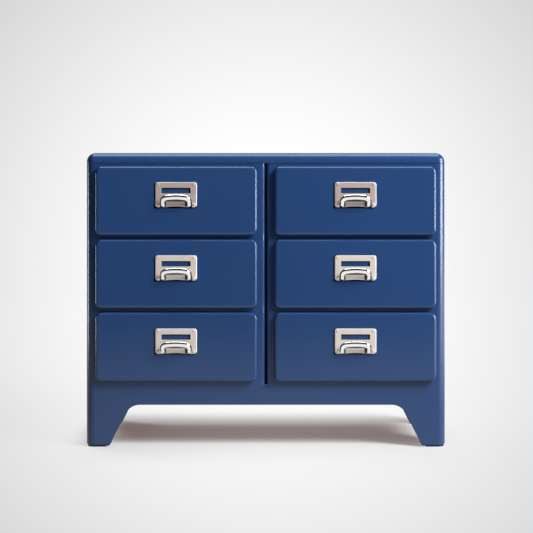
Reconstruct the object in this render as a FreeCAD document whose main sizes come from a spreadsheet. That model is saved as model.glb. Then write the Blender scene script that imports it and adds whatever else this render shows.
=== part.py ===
# Six-drawer sheet-steel chest: two columns of three drawers on four tapered legs.
# Millimetres. The origin is the centre of the whole chest's footprint, on the floor.
# +X is to the right seen from the front, the drawers open towards -Y, and +Z is up.
import FreeCAD, Part
import math
import os
import Sketcher

PARTS_FOLDER = "parts"
ROW_COUNT = 3
TOLERANCE = 0.01

# Driving dimensions: name, millimetres (angles in degrees) and what it measures.
DRIVING_SIZES = [
    ("cabinet_width", 865.0, "overall width of the carcass"),
    ("cabinet_height", 706.5, "floor to the top of the cap"),
    ("carcass_depth", 380.0, "front frame face to back panel face"),
    ("carcass_sheet", 1.2, "thickness of the carcass sheet"),
    ("corner_radius", 21.0, "outer radius of the upright corners and of the cap's edges"),
    ("cap_height", 25.5, "height of the top cap"),
    ("cap_seam_radius", 1.2, "outer radius of the cap's lower bend"),
    ("top_flange", 18.0, "width of the inward flanges at the cap seam"),
    ("lip_depth", 12.0, "depth of the folded edges round openings, slot and arches"),
    ("fold_radius", 2.4, "outer radius of a folded edge"),
    ("frame_wrap", 34.0, "how far the front frame wraps round the sides"),
    ("back_wrap", 30.0, "how far the back panel wraps round the sides"),
    ("side_margin", 24.0, "cabinet side to the nearest drawer front edge"),
    ("centre_margin", 20.5, "cabinet centre to the nearest drawer front edge"),
    ("top_margin", 7.5, "cap seam to the top drawer front"),
    ("row_gap", 9.5, "gap between drawer fronts, one above another"),
    ("skirt_top", 158.0, "floor to the lowest drawer front"),
    ("slot_width", 4.0, "width of the upright slot between the columns"),
    ("slot_overrun", 7.0, "how far the slot runs below the drawer fronts"),
    ("slot_radius", 8.0, "outer radius of the slot's pressed edges"),
    ("foot_width", 55.6, "width of a front leg at the floor"),
    ("rear_foot_width", 50.2, "width of a rear leg at the floor"),
    ("arch_height", 100.6, "floor to the top of the skirt arches"),
    ("leg_taper", 26.7, "lean of a leg's inner edge from upright, in degrees"),
    ("arch_radius", 38.0, "radius of the arch corners"),
    ("foot_radius", 6.0, "outer radius of the sheet where it turns under a foot"),
    ("glide_thickness", 2.0, "thickness of the nylon glide under a foot"),
    ("glide_inset", 2.5, "glide edge behind the face of the leg"),
    ("floor_flange", 20.0, "depth of the floor panel's turned-down edges"),
    ("floor_notch", 5.0, "extra corner radius of the floor panel"),
    ("wall_flange", 14.0, "width of the inner walls' folded edges"),
    ("overlap", 8.0, "how far a drawer front covers the frame round its opening"),
    ("opening_radius", 6.0, "corner radius of a drawer opening"),
    ("front_gap", 1.5, "gap between frame and closed drawer front"),
    ("front_depth", 14.0, "depth of a drawer front pan"),
    ("front_corner", 15.0, "corner radius of a drawer front"),
    ("front_edge", 7.5, "edge radius of a drawer front"),
    ("front_flange", 30.0, "width of the drawer front's inward flange"),
    ("drawer_sheet", 0.8, "thickness of the drawer sheet"),
    ("box_back_gap", 30.3, "drawer box to the inner face of the back panel"),
    ("box_side_gap", 14.0, "drawer box side to the edge of its opening"),
    ("box_floor_gap", 4.5, "bottom of the opening to the drawer box"),
    ("box_rim_gap", 9.0, "drawer box rim to the top of the opening"),
    ("box_bend", 3.0, "bend radius of the drawer box"),
    ("rim_hem", 6.0, "width of the drawer box's outward rim hem"),
    ("channel_height", 20.0, "outer height of a runner channel"),
    ("channel_sheet", 1.2, "thickness of a runner channel"),
    ("channel_reach_gap", 5.0, "drawer box side to the channel's open edge"),
    ("channel_setback", 1.0, "bend of the frame's corner to the channel's front end"),
    ("pad_length", 25.0, "length of the nylon pad at a channel's front"),
    ("pad_height", 3.0, "height of the nylon pad"),
    ("sliding_gap", 0.3, "running clearance of the slides"),
    ("angle_sheet", 1.5, "thickness of a slide angle"),
    ("angle_side_gap", 1.0, "slide angle's edge to the side of the opening"),
    ("angle_height", 15.0, "height of a slide angle's upright leg"),
    ("shoe_length", 20.0, "length of a nylon slide shoe"),
    ("bumper_radius", 2.2, "radius of a front bumper"),
    ("bumper_inset", 3.2, "bumper centre inside the edge of the drawer front"),
    ("bumper_rise", 45.0, "bumper centre from the middle of a drawer, up and down"),
    ("plate_width", 99.5, "width of a label plate"),
    ("plate_height", 59.5, "height of a label plate"),
    ("plate_standoff", 3.0, "face of a label plate from the drawer front"),
    ("plate_sheet", 0.9, "thickness of the label plate's sheet"),
    ("plate_corner", 6.0, "corner radius of a label plate"),
    ("plate_edge", 2.2, "edge radius of a label plate"),
    ("plate_rise", 15.2, "label plate centre above the middle of the drawer front"),
    ("plate_dip", 1.6, "rise of the shallow curve in the plate's lower edge"),
    ("plate_dip_width", 50.0, "width of that curve"),
    ("window_width", 69.5, "width of the label window"),
    ("window_height", 13.0, "height of the label window"),
    ("window_rise", 9.8, "label window centre above the plate's centre"),
    ("window_corner", 1.0, "corner radius of the label window"),
    ("bow_width", 76.0, "width of the handle bow"),
    ("bow_leg", 13.2, "width of a leg of the bow"),
    ("bow_bar", 15.4, "width of the bow's bar, along its lean"),
    ("bow_height", 25.4, "plate to the middle of the bar's top edge, along the lean"),
    ("bow_slope", 8.0, "fall of the bar towards its ends, in degrees"),
    ("bow_arch_radius", 110.0, "radius of the bar's top edge in its middle"),
    ("bow_corner", 19.0, "outer corner radius of the bow"),
    ("bow_inner_corner", 7.0, "corner radius of the bow's opening"),
    ("bow_lean", 40.0, "lean of the handle bow towards the front, in degrees"),
    ("bow_thickness", 6.5, "thickness of the bow"),
    ("bow_crown", 5.7, "edge radius of the bow's front face"),
    ("bow_edge", 0.6, "edge radius of the bow's back face"),
    ("bow_foot_rise", 0.8, "bow foot above the plate's lower edge"),
    ("ear_reach", 48.0, "handle centre to the end of an ear"),
    ("ear_height", 11.0, "height of an ear"),
    ("ear_round", 4.8, "corner radius at the end of an ear"),
    ("ear_thickness", 1.0, "thickness of an ear"),
    ("rivet_across", 85.0, "rivets of a label plate, left to right"),
    ("rivet_up", 49.0, "rivets of a label plate, bottom to top"),
    ("rivet_head", 2.6, "head radius of a rivet"),
    ("rivet_head_height", 1.4, "head height of a rivet"),
    ("rivet_dome", 1.1, "edge radius of a rivet's head"),
    ("rivet_shank", 1.5, "shank radius of a rivet"),
    ("rivet_clearance", 0.1, "rivet hole radius beyond the shank"),
    ("rivet_tail", 1.2, "height of a rivet's set tail"),
]

DRAWER_NUMBERS = range(1, ROW_COUNT * 2 + 1)
SIDE_NAMES = {-1: "left", 1: "right"}

doc = FreeCAD.newDocument("SixDrawerChest")
sheet = doc.addObject("Spreadsheet::Sheet", "Sizes")


class Length:
    """A size as a number, kept together with the sheet formula that it comes from."""

    def __init__(self, number, formula):
        self.number = float(number)
        self.formula = formula

    @staticmethod
    def of(value):
        return value if isinstance(value, Length) else Length(value, repr(float(value)))

    def __add__(self, other):
        other = Length.of(other)
        return Length(self.number + other.number, f"({self.formula} + {other.formula})")

    def __sub__(self, other):
        other = Length.of(other)
        return Length(self.number - other.number, f"({self.formula} - {other.formula})")

    def __mul__(self, other):
        other = Length.of(other)
        return Length(self.number * other.number, f"({self.formula} * {other.formula})")

    def __truediv__(self, other):
        other = Length.of(other)
        return Length(self.number / other.number, f"({self.formula} / {other.formula})")

    def __neg__(self):
        return Length(-self.number, f"(0 - {self.formula})")

    def trig(self, function):
        return Length(getattr(math, function)(math.radians(self.number)), f"{function}({self.formula})")


ZERO = Length.of(0)
# How far a cutting block reaches past what it cuts.
TOOL_REACH = Length.of(10)


class Sizes:
    """The driving sizes by name, as Length values."""


size = Sizes()
for row, (name, value, meaning) in enumerate(DRIVING_SIZES, start=1):
    sheet.set(f"A{row}", meaning)
    sheet.set(f"B{row}", repr(value))
    sheet.setAlias(f"B{row}", name)
    setattr(size, name, Length(value, f"Sizes.{name}"))
doc.recompute()

# Sizes that several pieces share, each worked out from the driving ones.
half_width = size.cabinet_width / 2
cap_seam = size.cabinet_height - size.cap_height
front_width = half_width - size.side_margin - size.centre_margin
front_height = (cap_seam - size.top_margin - size.skirt_top - size.row_gap * (ROW_COUNT - 1)) / ROW_COUNT
row_pitch = front_height + size.row_gap
top_row = cap_seam - size.top_margin - front_height / 2
column_centre = (half_width - size.side_margin + size.centre_margin) / 2
half_opening = front_width / 2 - size.overlap
opening_rise = front_height / 2 - size.overlap
half_box = half_opening - size.box_side_gap
slot_bottom = size.skirt_top - size.slot_overrun
half_slot = size.slot_width / 2
floor_top = slot_bottom - size.slot_radius
inner_wall_face = half_slot + size.carcass_sheet
side_inner_face = half_width - size.carcass_sheet
pan_face = -size.front_gap - size.front_depth
plate_face = pan_face - size.plate_standoff

# The slides, measured from the middle of a drawer and from the frame's face.
channel_bottom = -(size.channel_height / 2)
channel_front = size.corner_radius + size.channel_setback
channel_back = size.carcass_depth - size.corner_radius
slide_rest = channel_bottom + size.channel_sheet
pad_top = slide_rest + size.pad_height
angle_bottom = pad_top + size.sliding_gap
box_back = size.carcass_depth - size.carcass_sheet - size.box_back_gap
angle_reach = half_opening - size.angle_side_gap
shoe_front = box_back - size.shoe_length

# The handle bow, from its foot on the plate to its furthest point.
lean_sine = size.bow_lean.trig("sin")
lean_cosine = size.bow_lean.trig("cos")
bow_reach = ((size.bow_thickness - size.bow_crown) * lean_cosine
             + (size.bow_height - size.bow_crown) * lean_sine + size.bow_crown)
front_reach = size.front_gap + size.front_depth + size.plate_standoff + bow_reach
front_face = (front_reach - size.carcass_depth) / 2


def place(item, x=ZERO, y=ZERO, z=ZERO):
    """Tie an object's place to the sheet."""
    for axis, value in (("x", x), ("y", y), ("z", z)):
        item.setExpression(f"Placement.Base.{axis}", Length.of(value).formula)
    return item


def part_object(kind, name):
    item = doc.addObject(kind, name)
    item.Label = name
    return item


def block(name, low, high):
    """A box between two corners."""
    item = part_object("Part::Box", name)
    for side, start, end in zip(("Length", "Width", "Height"), low, high):
        item.setExpression(side, (Length.of(end) - start).formula)
    return place(item, *low)


def cylinder(name, radius, length, x=ZERO, y=ZERO, z=ZERO):
    """A cylinder that starts at a point and runs towards -Y."""
    item = part_object("Part::Cylinder", name)
    item.setExpression("Radius", Length.of(radius).formula)
    item.setExpression("Height", Length.of(length).formula)
    item.Placement.Rotation = FreeCAD.Rotation(FreeCAD.Vector(1, 0, 0), 90)
    return place(item, x, y, z)


def fuse(name, pieces):
    item = part_object("Part::MultiFuse", name)
    item.Shapes = pieces
    return item


def group(name, pieces):
    """Several separate solids in one node."""
    item = part_object("Part::Compound", name)
    item.Links = pieces
    return item


def cut(name, base, tools):
    item = part_object("Part::Cut", name)
    item.Base = base
    item.Tool = tools[0] if len(tools) == 1 else fuse(f"{name}_tools", tools)
    return item


def common(name, first, second):
    item = part_object("Part::Common", name)
    item.Base = first
    item.Tool = second
    return item


def origin_plane(body, role):
    return next(plane for plane in body.Origin.OriginFeatures if plane.Role == role)


def outline_sketch(body, name, role, offset, outlines):
    """Straight-sided closed outlines on an origin plane, each corner tied to the sheet."""
    sketch = body.newObject("Sketcher::SketchObject", name)
    sketch.AttachmentSupport = [(origin_plane(body, role), "")]
    sketch.MapMode = "FlatFace"
    sketch.setExpression("AttachmentOffset.Base.z", offset.formula)
    for outline in outlines:
        corners = [FreeCAD.Vector(Length.of(x).number, Length.of(y).number, 0) for x, y in outline]
        first = sketch.GeometryCount
        count = len(corners)
        for index in range(count):
            line = Part.LineSegment(corners[index], corners[(index + 1) % count])
            sketch.addGeometry(line, False)
        for index, (x, y) in enumerate(outline):
            here = first + index
            following = first + (index + 1) % count
            sketch.addConstraint(Sketcher.Constraint("Coincident", here, 2, following, 1))
            for kind, value in (("DistanceX", Length.of(x)), ("DistanceY", Length.of(y))):
                tie = sketch.addConstraint(Sketcher.Constraint(kind, -1, 1, here, 1, value.number))
                sketch.setExpression(f"Constraints[{tie}]", value.formula)
    return sketch


def extruded(name, role, outlines, start, end):
    """A body padded between two stations along the normal axis of an origin plane."""
    body = part_object("PartDesign::Body", name)
    start = Length.of(start)
    end = Length.of(end)
    towards_front = role == "XZ_Plane"
    offset = -start if towards_front else start
    sketch = outline_sketch(body, f"{name}_outline", role, offset, outlines)
    pad = body.newObject("PartDesign::Pad", f"{name}_pad")
    pad.Profile = sketch
    pad.Reversed = towards_front
    pad.setExpression("Length", (end - start).formula)
    doc.recompute()
    return body


def rectangle(left, bottom, right, top):
    return [(left, bottom), (right, bottom), (right, top), (left, top)]


def rounded(body, name, radius, belongs):
    """Fillet the edges of a body's last feature that a test picks."""
    base = body.Tip
    picked = [f"Edge{index}" for index, edge in enumerate(base.Shape.Edges, start=1) if belongs(edge)]
    if not picked:
        raise RuntimeError(f"{name}: no edge to round")
    fillet = body.newObject("PartDesign::Fillet", name)
    fillet.Base = (base, picked)
    fillet.setExpression("Radius", radius.formula)
    doc.recompute()
    return body


def same(first, second):
    return abs(first - second) < TOLERANCE


def in_plane(axis, value):
    """A test for edges that lie in the plane that an axis and a value give."""
    def belongs(edge):
        low = getattr(edge.BoundBox, f"{axis}Min")
        high = getattr(edge.BoundBox, f"{axis}Max")
        return same(low, value.number) and same(high, value.number)
    return belongs


def along(axis):
    """A test for straight edges parallel to an axis."""
    def belongs(edge):
        lengths = {name: getattr(edge.BoundBox, f"{name}Length") for name in "XYZ"}
        span = lengths.pop(axis)
        return span > TOLERANCE and all(value < TOLERANCE for value in lengths.values())
    return belongs


def higher_than(value):
    """A test for edges that lie above a height."""
    return lambda edge: edge.BoundBox.ZMin > value.number + TOLERANCE


def both(first, second):
    return lambda edge: first(edge) and second(edge)


def either(first, second):
    return lambda edge: first(edge) or second(edge)


def arch_outline(foot_inner, spread):
    """A skirt arch: a trapezoid that reaches below the floor, grown by a sheet thickness."""
    below = TOOL_REACH
    top = size.arch_height + spread
    growth = spread / size.leg_taper.trig("cos")
    lean = size.leg_taper.trig("tan")
    bottom_x = foot_inner + growth + below * lean
    top_x = foot_inner + growth - top * lean
    return [(-bottom_x, -below), (bottom_x, -below), (top_x, top), (-top_x, top)]


def shifted(outline, distance):
    return [(x + distance, y) for x, y in outline]


def openings(spread):
    """The six drawer openings in the front frame, grown by a sheet thickness."""
    outlines = []
    for side in (-1, 1):
        for row in range(ROW_COUNT):
            centre_x = column_centre * side
            centre_z = top_row - row_pitch * row
            outlines.append(rectangle(centre_x - half_opening - spread, centre_z - opening_rise - spread,
                                      centre_x + half_opening + spread, centre_z + opening_rise + spread))
    return outlines


def carcass_form(name, inset):
    """The carcass as a solid block with its openings, set in from the outer faces by an inset."""
    left = -half_width + inset
    back = size.carcass_depth - inset
    block_body = extruded(f"{name}_block", "XY_Plane", [rectangle(left, inset, -left, back)],
                          size.glide_thickness + inset, cap_seam - inset)
    bottom = size.glide_thickness + inset
    rounded(block_body, f"{name}_corners", size.corner_radius - inset, along("Z"))
    rounded(block_body, f"{name}_feet", size.foot_radius - inset, in_plane("Z", bottom))

    half_depth = size.carcass_depth / 2
    front_outline = arch_outline(half_width - size.foot_width, inset)
    rear_outline = arch_outline(half_width - size.rear_foot_width, inset)
    side_outline = shifted(arch_outline(half_depth - size.foot_width, inset), half_depth)
    front_arch = extruded(f"{name}_front_arch", "XZ_Plane", [front_outline], -TOOL_REACH, half_depth)
    rear_arch = extruded(f"{name}_rear_arch", "XZ_Plane", [rear_outline],
                         half_depth, size.carcass_depth + TOOL_REACH)
    side_arch = extruded(f"{name}_side_arch", "YZ_Plane", [side_outline],
                         -half_width - TOOL_REACH, half_width + TOOL_REACH)
    for arch, axis in ((front_arch, "Y"), (rear_arch, "Y"), (side_arch, "X")):
        corner = both(along(axis), in_plane("Z", size.arch_height + inset))
        rounded(arch, f"{arch.Name}_corners", size.arch_radius + inset, corner)

    openings_tool = extruded(f"{name}_openings", "XZ_Plane", openings(inset), -TOOL_REACH, size.lip_depth)
    rounded(openings_tool, f"{name}_opening_corners", size.opening_radius + inset, along("Y"))
    slot_tool = block(f"{name}_slot", (-half_slot - inset, -TOOL_REACH, slot_bottom - inset),
                      (half_slot + inset, size.lip_depth, cap_seam + TOOL_REACH))
    arches = [front_arch, rear_arch, side_arch]
    form = cut(f"{name}_cut", block_body, arches + [openings_tool, slot_tool])
    doc.recompute()
    return form


def slot_edges(inset):
    """A test for the front edges of the slot."""
    reach = (half_slot + inset).number + TOLERANCE
    on_front = in_plane("Y", inset)
    return lambda edge: on_front(edge) and edge.BoundBox.XMin > -reach and edge.BoundBox.XMax < reach


def folded_edges(inset):
    """A test for the edges of the drawer openings and of the arches, on all four faces."""
    side = half_width - inset
    on_front_or_back = either(in_plane("Y", inset), in_plane("Y", size.carcass_depth - inset))
    on_side = either(in_plane("X", side), in_plane("X", -side))
    foot_bend = (size.glide_thickness + size.foot_radius).number
    top = (cap_seam - inset).number
    in_slot = slot_edges(inset)

    def belongs(edge):
        low = edge.BoundBox.ZMin
        above_feet = low > foot_bend - TOLERANCE
        below_cap = edge.BoundBox.ZMax < top - TOLERANCE
        corner_bend = along("Z")(edge) and same(low, foot_bend)
        on_face = on_front_or_back(edge) or on_side(edge)
        return on_face and above_feet and below_cap and not in_slot(edge) and not corner_bend
    return belongs


def round_edges(name, base, picks):
    """A Part fillet; each pick is a test of an edge and a radius."""
    item = part_object("Part::Fillet", name)
    item.Base = base
    edges = []
    for index, edge in enumerate(base.Shape.Edges, start=1):
        for belongs, radius in picks:
            if belongs(edge):
                edges.append((index, radius.number, radius.number))
    item.Edges = edges
    doc.recompute()
    return item


def carcass_shell():
    """The whole carcass sheet: the outer form less the inner one, with folded edges left on."""
    sheet_form = {}
    for name, inset in (("outer_form", ZERO), ("inner_form", size.carcass_sheet)):
        raw = carcass_form(name, inset)
        sheet_form[name] = round_edges(name, raw, [
            (slot_edges(inset), size.slot_radius - inset),
            (folded_edges(inset), size.fold_radius - inset),
        ])
    reach = half_width - size.lip_depth
    deep_space = block("deep_space",
                       (-reach, size.lip_depth, size.glide_thickness + size.carcass_sheet),
                       (reach, size.carcass_depth - size.lip_depth, cap_seam - size.carcass_sheet))
    top_reach = half_width - size.top_flange
    top_hole = block("top_hole",
                     (-top_reach, size.top_flange, cap_seam - size.carcass_sheet - TOOL_REACH),
                     (top_reach, size.carcass_depth - size.top_flange, cap_seam + TOOL_REACH))
    return cut("carcass_shell", sheet_form["outer_form"], [sheet_form["inner_form"], deep_space, top_hole])


def carcass_panels():
    """Slice the carcass sheet into the front frame, the two sides and the back panel."""
    shell = carcass_shell()
    left = -half_width - TOOL_REACH
    right = half_width + TOOL_REACH
    back = size.carcass_depth + TOOL_REACH
    back_seam = size.carcass_depth - size.back_wrap
    slices = {
        "front_frame": ((left, -TOOL_REACH), (right, size.frame_wrap)),
        "back_panel": ((left, back_seam), (right, back)),
        "left_side_panel": ((left, size.frame_wrap), (ZERO, back_seam)),
        "right_side_panel": ((ZERO, size.frame_wrap), (right, back_seam)),
    }
    panels = {}
    for name, ((x_low, y_low), (x_high, y_high)) in slices.items():
        region = block(f"{name}_region", (x_low, y_low, -TOOL_REACH),
                       (x_high, y_high, cap_seam + TOOL_REACH))
        panels[name] = place(common(name, shell, region), y=front_face)
    return panels


def cap_form(name, inset):
    """The top cap as a solid, set in by an inset, with every outer edge rounded."""
    left = -half_width + inset
    bottom = cap_seam + inset
    top = size.cabinet_height - inset
    outline = rectangle(left, inset, -left, size.carcass_depth - inset)
    body = extruded(name, "XY_Plane", [outline], bottom, top)
    return rounded(body, f"{name}_edges", size.corner_radius - inset, either(along("Z"), in_plane("Z", top)))


def top_cap():
    outer = cap_form("cap_outer", ZERO)
    rounded(outer, "cap_seam_bend", size.cap_seam_radius, in_plane("Z", cap_seam))
    inner = cap_form("cap_inner", size.carcass_sheet)
    reach = half_width - size.top_flange
    hole = block("cap_hole", (-reach, size.top_flange, cap_seam - TOOL_REACH),
                 (reach, size.carcass_depth - size.top_flange, cap_seam + size.carcass_sheet * 2))
    return place(cut("top_cap", outer, [inner, hole]), y=front_face)


def floor_panel():
    """The carcass floor, a tray turned upside down between the four faces."""
    def form(name, inset, bottom):
        left = -side_inner_face + inset
        front = size.carcass_sheet + inset
        body = extruded(name, "XY_Plane", [rectangle(left, front, -left, size.carcass_depth - front)],
                        bottom, floor_top - inset)
        radius = size.corner_radius + size.floor_notch - inset
        return rounded(body, f"{name}_corners", radius, along("Z"))

    outer = form("floor_outer", ZERO, floor_top - size.floor_flange)
    inner = form("floor_inner", size.carcass_sheet, floor_top - size.floor_flange - TOOL_REACH)
    return place(cut("floor_panel", outer, [inner]), y=front_face)


def mirrored(outline, side):
    """An outline of the right-hand side, or its mirror image for the left."""
    return [(x * side, y) for x, y in outline]


def inner_wall(name, side):
    """One wall of the slot, a sheet with its four edges folded into its own column."""
    front = size.lip_depth
    back = size.carcass_depth - size.carcass_sheet
    bottom = floor_top
    top = cap_seam - size.carcass_sheet
    thickness = size.carcass_sheet
    reach = half_slot + size.wall_flange
    outer = extruded(f"{name}_outer", "XZ_Plane",
                     [mirrored(rectangle(half_slot, bottom, reach, top), side)], front, back)
    hollow = extruded(f"{name}_hollow", "XZ_Plane",
                      [mirrored(rectangle(inner_wall_face, bottom + thickness,
                                          reach + TOOL_REACH, top - thickness), side)],
                      front - TOOL_REACH, back - thickness)
    return place(cut(name, outer, [hollow]), y=front_face)


def foot_glides():
    """Four nylon pads, one under each leg."""
    inset = size.glide_inset
    left = -half_width + inset
    back = size.carcass_depth - inset
    plate = extruded("glide_plate", "XY_Plane", [rectangle(left, inset, -left, back)],
                     ZERO, size.glide_thickness)
    rounded(plate, "glide_corners", size.corner_radius - inset, along("Z"))
    reach_x = half_width - size.rear_foot_width + inset
    reach_y = size.foot_width - inset
    above = size.glide_thickness + TOOL_REACH
    across = block("glide_gap_x", (-reach_x, -TOOL_REACH, -TOOL_REACH),
                   (reach_x, size.carcass_depth + TOOL_REACH, above))
    lengthways = block("glide_gap_y", (-half_width, reach_y, -TOOL_REACH),
                       (half_width, size.carcass_depth - reach_y, above))
    return place(cut("foot_glides", plate, [across, lengthways]), y=front_face)


def drawer_middle(number):
    """Where the middle of a drawer front lies, across and up."""
    side = -1 if number <= ROW_COUNT else 1
    row = (number - 1) % ROW_COUNT
    return column_centre * side, top_row - row_pitch * row


def drawer_shift(item, number, x=ZERO, z=ZERO):
    """Move an item from the middle of a drawer front to its column and row."""
    across, up = drawer_middle(number)
    return place(item, x=across + x, z=up + z)


def drawer_place(item, number):
    """Put an item made about the middle of a drawer front at its column, its row and the frame."""
    across, up = drawer_middle(number)
    return place(item, across, front_face, up)


def wall_distances(number):
    """Distances from a drawer's centre line to the walls on its left and on its right."""
    outer = side_inner_face - column_centre
    inner = column_centre - inner_wall_face
    return (outer, inner) if number <= ROW_COUNT else (inner, outer)


def runners(number):
    """Two steel channels that open towards the drawer box."""
    channels = []
    mouth = half_box + size.channel_reach_gap
    thickness = size.channel_sheet
    top = channel_bottom + size.channel_height
    for side, wall in zip((-1, 1), wall_distances(number)):
        outline = [(mouth, channel_bottom), (wall, channel_bottom), (wall, top), (mouth, top),
                   (mouth, top - thickness), (wall - thickness, top - thickness),
                   (wall - thickness, slide_rest), (mouth, slide_rest)]
        channels.append(extruded(f"channel_{number}_{SIDE_NAMES[side]}", "XZ_Plane",
                                 [mirrored(outline, side)], channel_front, channel_back))
    return drawer_place(group(f"drawer_{number}_runners", channels), number)


def runner_pads():
    """Nylon pads at the front of the channels, which carry the slide angles and stop the shoes."""
    pads = []
    inner = half_box + size.channel_reach_gap
    outer = angle_reach + size.channel_reach_gap
    for number in DRAWER_NUMBERS:
        for side in (-1, 1):
            pad = extruded(f"pad_{number}_{SIDE_NAMES[side]}", "XZ_Plane",
                           [mirrored(rectangle(inner, slide_rest, outer, pad_top), side)],
                           channel_front, channel_front + size.pad_length)
            pads.append(drawer_shift(pad, number))
    return place(group("runner_pads", pads), y=front_face)


def front_bumpers():
    """Small rubber buffers on the frame, four behind each drawer front."""
    buffers = []
    thickness = size.front_gap - size.sliding_gap
    reach = front_width / 2 - size.bumper_inset
    for number in DRAWER_NUMBERS:
        for side in (-1, 1):
            for rise in (-1, 1):
                buffer = cylinder(f"bumper_{number}_{side}_{rise}", size.bumper_radius, thickness)
                buffers.append(drawer_shift(buffer, number, reach * side, size.bumper_rise * rise))
    return place(group("front_bumpers", buffers), y=front_face)


def pan_form(name, inset):
    """A drawer front as a solid with rounded corners and a rounded front edge."""
    half_x = front_width / 2 - inset
    half_z = front_height / 2 - inset
    front = -size.front_gap - size.front_depth + inset
    body = extruded(name, "XZ_Plane", [rectangle(-half_x, -half_z, half_x, half_z)],
                    front, -size.front_gap - inset)
    rounded(body, f"{name}_corners", size.front_corner - inset, along("Y"))
    return rounded(body, f"{name}_rim", size.front_edge - inset, in_plane("Y", front))


def drawer_front(number):
    """A hollow pan with a flange turned inwards behind it."""
    outer = pan_form(f"pan_{number}_outer", ZERO)
    inner = pan_form(f"pan_{number}_inner", size.drawer_sheet)
    half_x = front_width / 2 - size.front_flange
    half_z = front_height / 2 - size.front_flange
    hole = block(f"pan_{number}_hole", (-half_x, -size.front_gap - size.drawer_sheet * 2, -half_z),
                 (half_x, TOOL_REACH, half_z))
    rivet_holes = rivet_cylinders(f"pan_{number}_rivet_hole", size.rivet_shank + size.rivet_clearance,
                                  pan_face + size.drawer_sheet * 2, size.drawer_sheet * 3)
    return drawer_place(cut(f"drawer_{number}_front", outer, [inner, hole] + rivet_holes), number)


def drawer_box(number):
    """A folded tray: floor, two sides, front and back, with an outward hem on the sides."""
    thickness = size.drawer_sheet
    bottom = -opening_rise + size.box_floor_gap
    top = opening_rise - size.box_rim_gap
    front = -size.front_gap
    outer = extruded(f"box_{number}_outer", "XY_Plane", [rectangle(-half_box, front, half_box, box_back)],
                     bottom, top)
    rounded(outer, f"box_{number}_bends", size.box_bend, in_plane("Z", bottom))
    inner = extruded(f"box_{number}_inner", "XY_Plane",
                     [rectangle(-half_box + thickness, front + thickness,
                                half_box - thickness, box_back - thickness)],
                     bottom + thickness, top + TOOL_REACH)
    rounded(inner, f"box_{number}_inner_bends", size.box_bend - thickness, in_plane("Z", bottom + thickness))
    tray = cut(f"box_{number}_tray", outer, [inner])
    hem = rectangle(half_box, top - thickness, half_box + size.rim_hem, top)
    hems = [extruded(f"box_{number}_hem_{SIDE_NAMES[side]}", "XZ_Plane", [mirrored(hem, side)],
                     front, box_back)
            for side in (-1, 1)]
    return drawer_place(fuse(f"drawer_{number}_box", [tray] + hems), number)


def drawer_slides(number):
    """Two steel angles on the box sides, which ride in the channels."""
    angles = []
    thickness = size.angle_sheet
    top = angle_bottom + size.angle_height
    for side in (-1, 1):
        outline = [(half_box, angle_bottom), (angle_reach, angle_bottom),
                   (angle_reach, angle_bottom + thickness), (half_box + thickness, angle_bottom + thickness),
                   (half_box + thickness, top), (half_box, top)]
        angles.append(extruded(f"angle_{number}_{SIDE_NAMES[side]}", "XZ_Plane",
                               [mirrored(outline, side)], ZERO, shoe_front))
    return drawer_place(group(f"drawer_{number}_slides", angles), number)


def slide_shoes(number):
    """Two nylon shoes behind the slide angles, as high as the channel lets them be."""
    shoes = []
    bottom = slide_rest + size.sliding_gap
    top = -channel_bottom - size.channel_sheet - size.sliding_gap
    for side in (-1, 1):
        outline = mirrored(rectangle(half_box, bottom, angle_reach, top), side)
        shoes.append(extruded(f"shoe_{number}_{SIDE_NAMES[side]}", "XZ_Plane", [outline],
                              shoe_front, box_back))
    return drawer_place(group(f"drawer_{number}_slide_shoes", shoes), number)


def rivet_place(side, rise):
    """Where a rivet lies on the drawer front, across and up from its middle."""
    return size.rivet_across / 2 * side, size.plate_rise + size.rivet_up / 2 * rise


def rivet_cylinders(name, radius, start, length):
    """Four cylinders towards -Y where a label plate is riveted."""
    cylinders = []
    for side in (-1, 1):
        for rise in (-1, 1):
            x, z = rivet_place(side, rise)
            cylinders.append(cylinder(f"{name}_{side}_{rise}", radius, length, x, start, z))
    return cylinders


def plate_form(name, inset):
    """A label plate as a solid, set in by an inset and open at the drawer side."""
    half_x = size.plate_width / 2 - inset
    half_z = size.plate_height / 2 - inset
    front = plate_face + inset
    back = pan_face + inset
    outline = rectangle(-half_x, size.plate_rise - half_z, half_x, size.plate_rise + half_z)
    body = extruded(name, "XZ_Plane", [outline], front, back)
    rounded(body, f"{name}_corners", size.plate_corner - inset, along("Y"))
    return rounded(body, f"{name}_rim", size.plate_edge - inset, in_plane("Y", front))


def label_plate(number):
    """A stamped plate with turned-back edges, a label window and a shallow curve below."""
    outer = plate_form(f"plate_{number}_outer", ZERO)
    inner = plate_form(f"plate_{number}_inner", size.plate_sheet)
    window_z = size.plate_rise + size.window_rise
    half_x = size.window_width / 2
    half_z = size.window_height / 2
    window = extruded(f"plate_{number}_window", "XZ_Plane",
                      [rectangle(-half_x, window_z - half_z, half_x, window_z + half_z)],
                      plate_face - TOOL_REACH, pan_face)
    rounded(window, f"plate_{number}_window_corners", size.window_corner, along("Y"))
    half_dip = size.plate_dip_width / 2
    dip_radius = (half_dip * half_dip + size.plate_dip * size.plate_dip) / (size.plate_dip * 2)
    dip_centre = size.plate_rise - size.plate_height / 2 + size.plate_dip - dip_radius
    dip = cylinder(f"plate_{number}_dip", dip_radius, size.plate_standoff * 2, ZERO, pan_face, dip_centre)
    rivet_holes = rivet_cylinders(f"plate_{number}_rivet_hole", size.rivet_shank + size.rivet_clearance,
                                  pan_face, size.plate_standoff * 2)
    tools = [inner, window, dip] + rivet_holes
    return drawer_place(cut(f"drawer_{number}_label_plate", outer, tools), number)


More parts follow.
